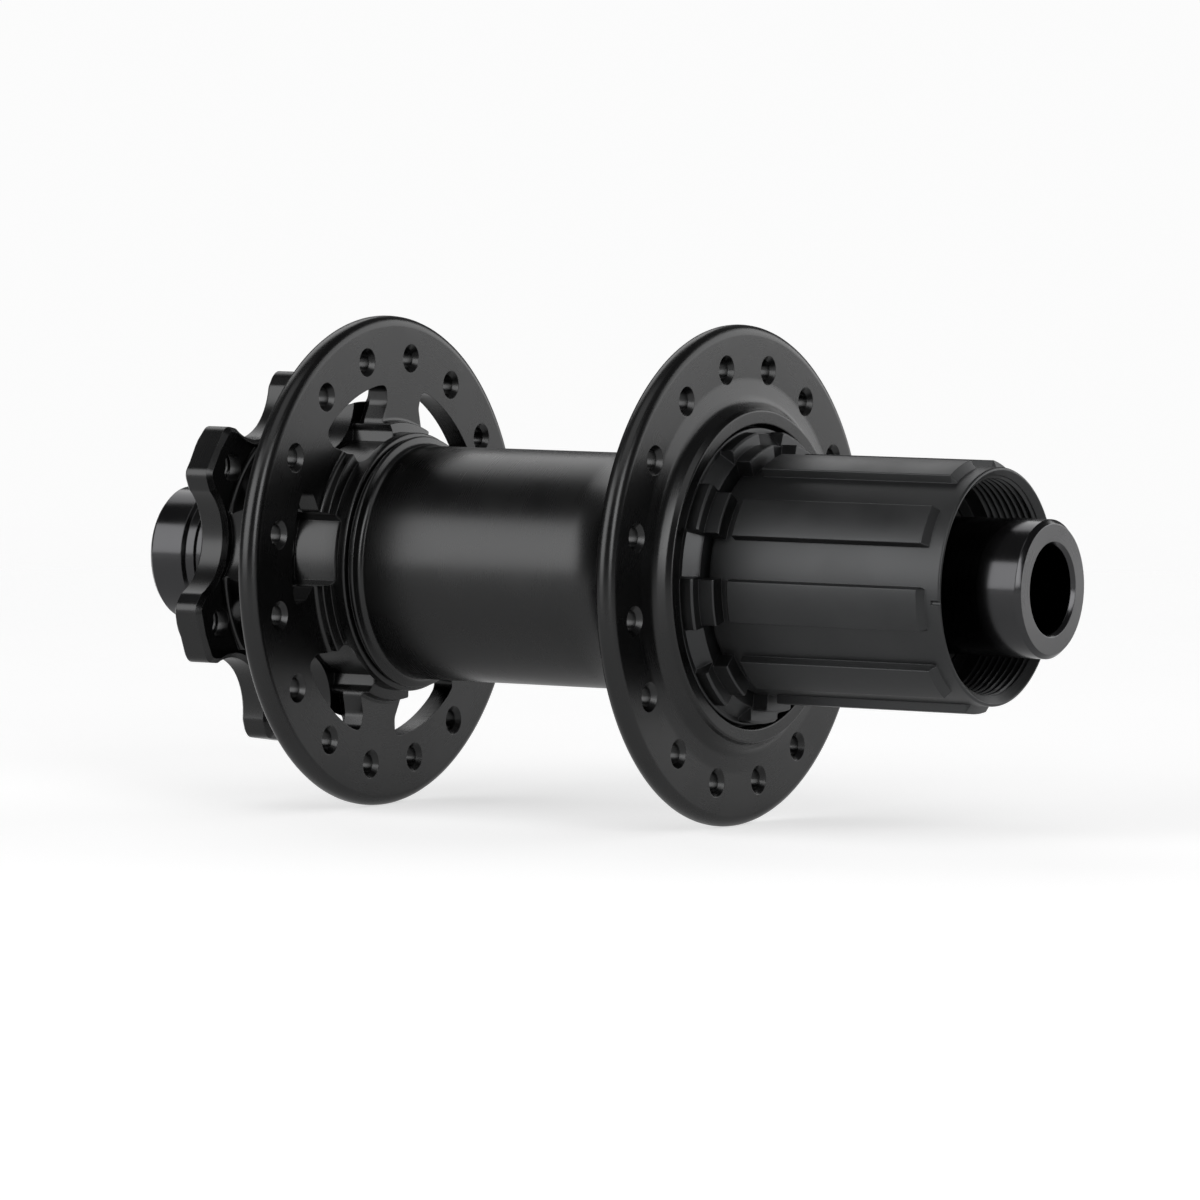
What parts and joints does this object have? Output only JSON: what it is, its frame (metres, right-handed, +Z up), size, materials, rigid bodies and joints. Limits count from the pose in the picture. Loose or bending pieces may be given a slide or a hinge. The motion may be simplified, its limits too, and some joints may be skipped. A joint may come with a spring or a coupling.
{
  "type": "bicycle rear hub",
  "caption": "Rear disc-brake bicycle hub: flanged shell, splined freehub body with pawl ratchet, cartridge bearings, hollow axle and push-on end caps.",
  "frame": {"origin": "centre of the hub: on the axle's centre line, midway between the two dropout faces", "axes": "+Y along the axle towards the disc side, so the drive side is -Y; +X forward; +Z up"},
  "size_m": [0.0692, 0.142, 0.0692],
  "materials": {
    "gloss_anodised": "black anodised, fine turned gloss",
    "satin_anodised": "black anodised over a fine blast, satin",
    "bearing_steel": "ground",
    "hard_steel": "hardened, oiled",
    "spring_steel": "smooth",
    "nylon": "moulded, matt",
    "rubber": "matt"
  },
  "bodies": {
    "axle_assembly": {"axle": "satin_anodised", "axle_spacer": "satin_anodised", "freehub_inner_race_spacer": "satin_anodised", "end_cap_left": "gloss_anodised", "end_cap_right": "gloss_anodised", "end_cap_o_ring_left": "rubber", "end_cap_o_ring_right": "rubber", "shell_bearing_right_inner_race": "bearing_steel", "shell_bearing_left_inner_race": "bearing_steel", "freehub_bearing_inner_inner_race": "bearing_steel", "freehub_bearing_outer_inner_race": "bearing_steel"},
    "shell": {"hub_shell": "gloss_anodised", "drive_ring": "hard_steel", "left_dust_cover": "gloss_anodised", "freehub_lip_seal": "rubber", "shell_bearing_right_outer_race": "bearing_steel", "shell_bearing_right_seal_disc_side": "rubber", "shell_bearing_right_seal_drive_side": "rubber", "shell_bearing_left_outer_race": "bearing_steel", "shell_bearing_left_seal_disc_side": "rubber", "shell_bearing_left_seal_drive_side": "rubber"},
    "freehub": {"freehub_body": "satin_anodised", "freehub_outer_race_spacer": "satin_anodised", "bearing_circlip": "spring_steel", "freehub_end_seal": "rubber", "freehub_bearing_inner_outer_race": "bearing_steel", "freehub_bearing_inner_seal_disc_side": "rubber", "freehub_bearing_inner_seal_drive_side": "rubber", "freehub_bearing_outer_outer_race": "bearing_steel", "freehub_bearing_outer_seal_disc_side": "rubber", "freehub_bearing_outer_seal_drive_side": "rubber", "pawl_spring_1": "spring_steel", "pawl_spring_2": "spring_steel", "pawl_spring_3": "spring_steel"},
    "pawl_1": {"pawl_1": "hard_steel"},
    "pawl_2": {"pawl_2": "hard_steel"},
    "pawl_3": {"pawl_3": "hard_steel"},
    "shell_right_cage": {"shell_bearing_right_ball_cage": "nylon"},
    "shell_left_cage": {"shell_bearing_left_ball_cage": "nylon"},
    "freehub_inner_cage": {"freehub_bearing_inner_ball_cage": "nylon"},
    "freehub_outer_cage": {"freehub_bearing_outer_ball_cage": "nylon"}
  },
  "joints": [
    {"name": "shell_spin", "type": "hinge", "parent": "axle_assembly", "child": "shell", "pos_m": [0, 0, 0], "axis": [0, 1, 0], "continuous": true},
    {"name": "freehub_spin", "type": "hinge", "parent": "axle_assembly", "child": "freehub", "pos_m": [0, -0.038, 0], "axis": [0, 1, 0], "continuous": true},
    {"name": "pawl_1_lift", "type": "hinge", "parent": "freehub", "child": "pawl_1", "pos_m": [0, -0.0175, 0.0142], "axis": [0, -1, 0], "range_deg": [0, 12], "stiffness_Nm_per_rad": 0.01, "springref_deg": 20.05},
    {"name": "pawl_2_lift", "type": "hinge", "parent": "freehub", "child": "pawl_2", "pos_m": [-0.0123, -0.0175, -0.0071], "axis": [0, -1, 0], "range_deg": [0, 12], "stiffness_Nm_per_rad": 0.01, "springref_deg": 20.05},
    {"name": "pawl_3_lift", "type": "hinge", "parent": "freehub", "child": "pawl_3", "pos_m": [0.0123, -0.0175, -0.0071], "axis": [0, -1, 0], "range_deg": [0, 12], "stiffness_Nm_per_rad": 0.01, "springref_deg": 20.05},
    {"name": "shell_right_cage_roll", "type": "hinge", "parent": "axle_assembly", "child": "shell_right_cage", "pos_m": [0, -0.0098, 0], "axis": [0, 1, 0], "continuous": true},
    {"name": "shell_left_cage_roll", "type": "hinge", "parent": "axle_assembly", "child": "shell_left_cage", "pos_m": [0, 0.0515, 0], "axis": [0, 1, 0], "continuous": true},
    {"name": "freehub_inner_cage_roll", "type": "hinge", "parent": "axle_assembly", "child": "freehub_inner_cage", "pos_m": [0, -0.0295, 0], "axis": [0, 1, 0], "continuous": true},
    {"name": "freehub_outer_cage_roll", "type": "hinge", "parent": "axle_assembly", "child": "freehub_outer_cage", "pos_m": [0, -0.0464, 0], "axis": [0, 1, 0], "continuous": true}
  ],
  "couplings": [
    {"joint": "pawl_2_lift", "follows": "pawl_1_lift", "ratio": 1},
    {"joint": "pawl_3_lift", "follows": "pawl_1_lift", "ratio": 1},
    {"joint": "shell_right_cage_roll", "follows": "shell_spin", "ratio": 0.5814},
    {"joint": "shell_left_cage_roll", "follows": "shell_spin", "ratio": 0.5814},
    {"joint": "freehub_inner_cage_roll", "follows": "freehub_spin", "ratio": 0.5641},
    {"joint": "freehub_outer_cage_roll", "follows": "freehub_spin", "ratio": 0.5641}
  ]
}
